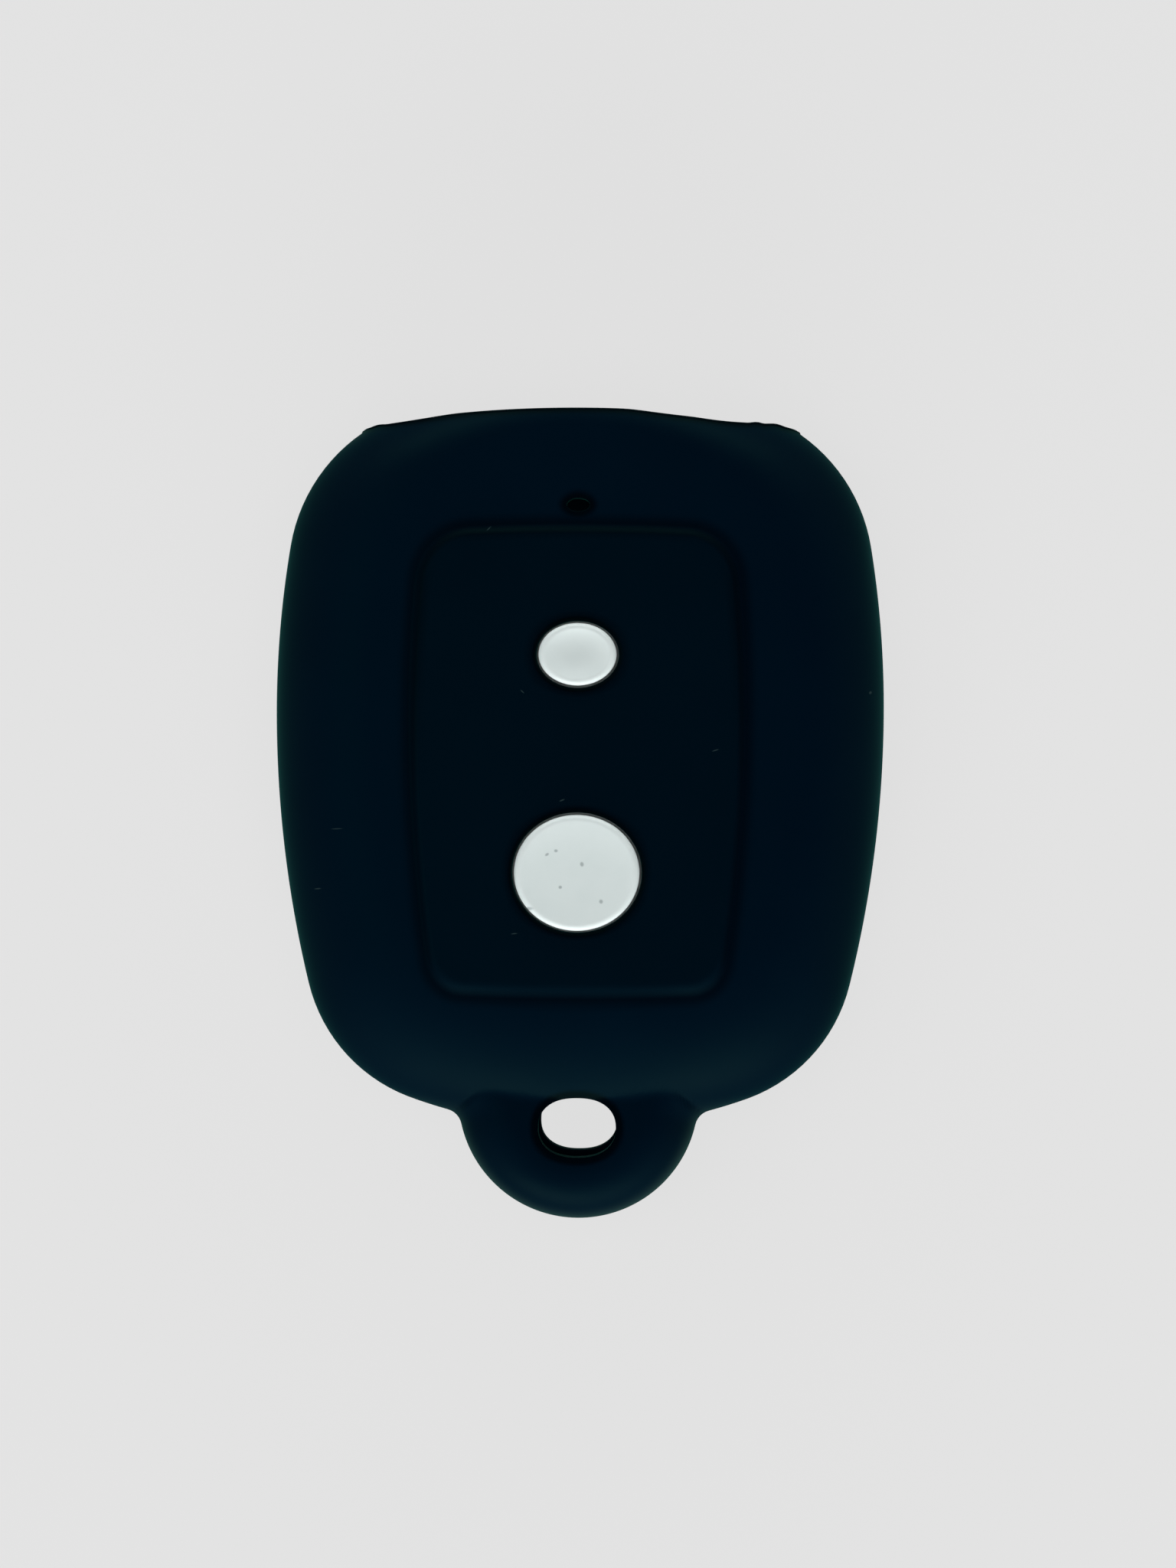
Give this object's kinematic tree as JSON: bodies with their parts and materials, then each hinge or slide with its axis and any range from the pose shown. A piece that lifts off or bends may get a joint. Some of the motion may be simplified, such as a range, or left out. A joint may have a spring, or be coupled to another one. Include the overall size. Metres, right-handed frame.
{
  "type": "key fob cover",
  "caption": "Moulded silicone sleeve for a two-button key fob, with an open mouth, press-through button pads and a tab with a key ring eye.",
  "frame": {"origin": "on the flat back, under the middle of the whole outline", "axes": "+Z out of the front face, +Y towards the mouth, -Y towards the key ring tab, X across the width"},
  "size_m": [0.042, 0.0554, 0.0157],
  "materials": {
    "dark_silicone": "matte moulded silicone, very dark blue-green",
    "pale_silicone": "smooth pale grey silicone, satin"
  },
  "bodies": {
    "sleeve": {"sleeve": "dark_silicone"},
    "small_button": {"small_button_pad": "pale_silicone"},
    "large_button": {"large_button_pad": "pale_silicone"}
  },
  "joints": [
    {"name": "small_button_press", "type": "slide", "parent": "sleeve", "child": "small_button", "axis": [0, 0, -1], "range_m": [0, 0.0007], "stiffness_N_per_m": 600},
    {"name": "large_button_press", "type": "slide", "parent": "sleeve", "child": "large_button", "axis": [0, 0, -1], "range_m": [0, 0.0007], "stiffness_N_per_m": 600}
  ]
}
